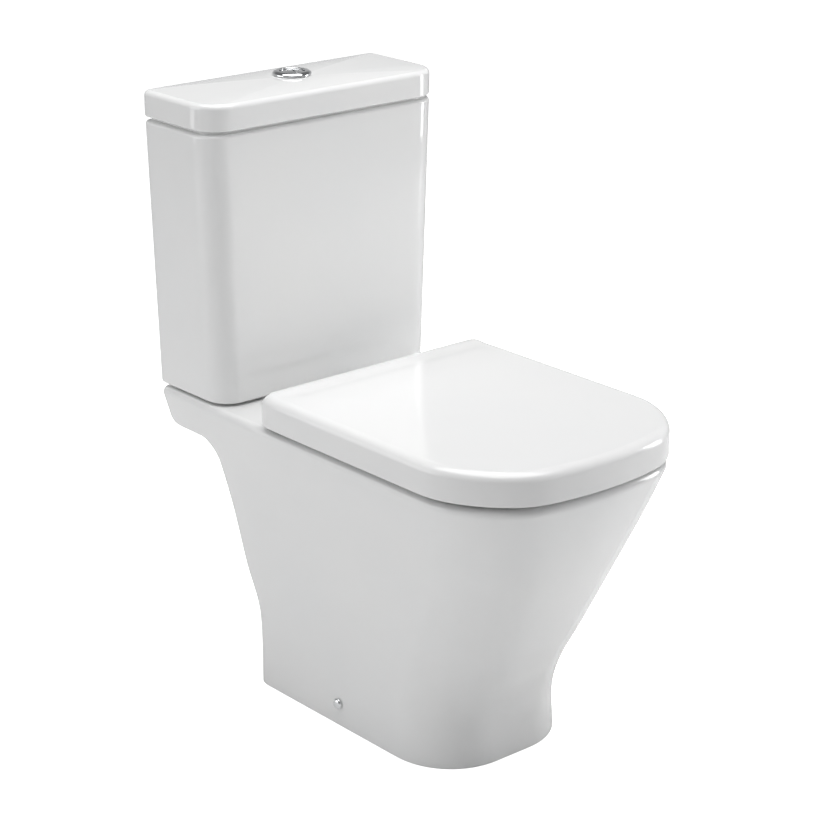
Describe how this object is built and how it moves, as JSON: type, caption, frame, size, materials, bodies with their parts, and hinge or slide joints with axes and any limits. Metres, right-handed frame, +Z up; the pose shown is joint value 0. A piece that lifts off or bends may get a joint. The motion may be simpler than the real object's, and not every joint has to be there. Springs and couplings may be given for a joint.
{
  "type": "close coupled toilet",
  "caption": "Floor standing close coupled toilet with a flared pan, slim cistern, dual flush button, and hinged soft-close seat and lid.",
  "frame": {"origin": "on the floor, at the middle of the object's box", "axes": "+Z up; -Y is the front, +Y the wall behind; +X is to the right seen from the front"},
  "size_m": [0.3746, 0.652, 0.8],
  "materials": {
    "china": "clear glaze over white vitreous china, high gloss",
    "duroplast": "white moulded thermoset, high gloss",
    "chrome": "polished",
    "steel": "satin",
    "brass": "turned",
    "rubber": "matt black",
    "buffer": "translucent grey, matt",
    "white_plastic": "moulded, satin",
    "blue_plastic": "moulded, satin"
  },
  "bodies": {
    "pan_and_cistern": {"pan": "china", "cistern_tank": "china", "cistern_gasket": "rubber", "hinge_post_left": "chrome", "hinge_post_right": "chrome", "hinge_pin_left": "steel", "hinge_pin_right": "steel", "hinge_stud_left": "steel", "hinge_stud_right": "steel", "hinge_washer_left": "rubber", "hinge_washer_right": "rubber", "hinge_wing_nut_left": "white_plastic", "hinge_wing_nut_right": "white_plastic", "cistern_bolt_left": "brass", "cistern_bolt_right": "brass", "bolt_seal_left": "rubber", "bolt_seal_right": "rubber", "bolt_washer_left": "steel", "bolt_washer_right": "steel", "bolt_wing_nut_left": "brass", "bolt_wing_nut_right": "brass", "floor_bracket_left": "white_plastic", "floor_bracket_right": "white_plastic", "side_screw_left": "steel", "side_screw_right": "steel", "side_screw_cap_left": "chrome", "side_screw_cap_right": "chrome", "flush_valve_housing": "white_plastic", "flush_valve_washer": "rubber", "flush_valve_backnut": "white_plastic", "fill_valve_body": "white_plastic", "fill_valve_washer": "rubber", "fill_valve_nut": "brass", "lever_pin": "steel"},
    "seat_ring": {"seat_ring": "duroplast", "seat_buffer_front_left": "buffer", "seat_buffer_front_right": "buffer", "seat_buffer_rear_left": "buffer", "seat_buffer_rear_right": "buffer"},
    "seat_lid": {"seat_lid": "duroplast", "lid_buffer_left": "buffer", "lid_buffer_right": "buffer"},
    "cistern_lid": {"cistern_lid": "china", "button_bezel": "chrome", "button_bezel_nut": "white_plastic", "button_guide": "white_plastic"},
    "full_flush_button": {"full_flush_button": "chrome", "full_flush_rod": "white_plastic"},
    "half_flush_button": {"half_flush_button": "chrome", "half_flush_rod": "white_plastic"},
    "flush_valve_core": {"overflow_tube": "blue_plastic", "flush_seal": "rubber"},
    "fill_valve_float": {"fill_valve_float": "blue_plastic", "float_link": "steel"},
    "fill_valve_lever": {"fill_valve_lever": "white_plastic"}
  },
  "joints": [
    {"name": "seat_ring_hinge", "type": "hinge", "parent": "pan_and_cistern", "child": "seat_ring", "pos_m": [0, 0.0955, 0.416], "axis": [-1, 0, 0], "range_deg": [0, 96]},
    {"name": "seat_lid_hinge", "type": "hinge", "parent": "seat_ring", "child": "seat_lid", "pos_m": [0, 0.0955, 0.416], "axis": [1, 0, 0], "range_deg": [-96, 0]},
    {"name": "cistern_lid_lift", "type": "slide", "parent": "pan_and_cistern", "child": "cistern_lid", "axis": [0, 0, 1], "range_m": [0, 0.12]},
    {"name": "full_flush_press", "type": "slide", "parent": "cistern_lid", "child": "full_flush_button", "axis": [0, 0, -1], "range_m": [0, 0.006], "stiffness_N_per_m": 800, "springref_m": -0.004},
    {"name": "half_flush_press", "type": "slide", "parent": "cistern_lid", "child": "half_flush_button", "axis": [0, 0, -1], "range_m": [0, 0.006], "stiffness_N_per_m": 800, "springref_m": -0.004},
    {"name": "flush_valve_lift", "type": "slide", "parent": "pan_and_cistern", "child": "flush_valve_core", "axis": [0, 0, 1], "range_m": [0, 0.018]},
    {"name": "float_rise", "type": "slide", "parent": "pan_and_cistern", "child": "fill_valve_float", "axis": [0, 0, 1], "range_m": [0, 0.01]},
    {"name": "fill_lever_tilt", "type": "hinge", "parent": "pan_and_cistern", "child": "fill_valve_lever", "pos_m": [0.098, 0.265, 0.664], "axis": [0, 1, 0], "range_deg": [0, 23]}
  ],
  "couplings": [
    {"joint": "flush_valve_lift", "follows": "full_flush_press", "ratio": 3},
    {"joint": "fill_lever_tilt", "follows": "float_rise", "rad_per_m": 38.4}
  ]
}
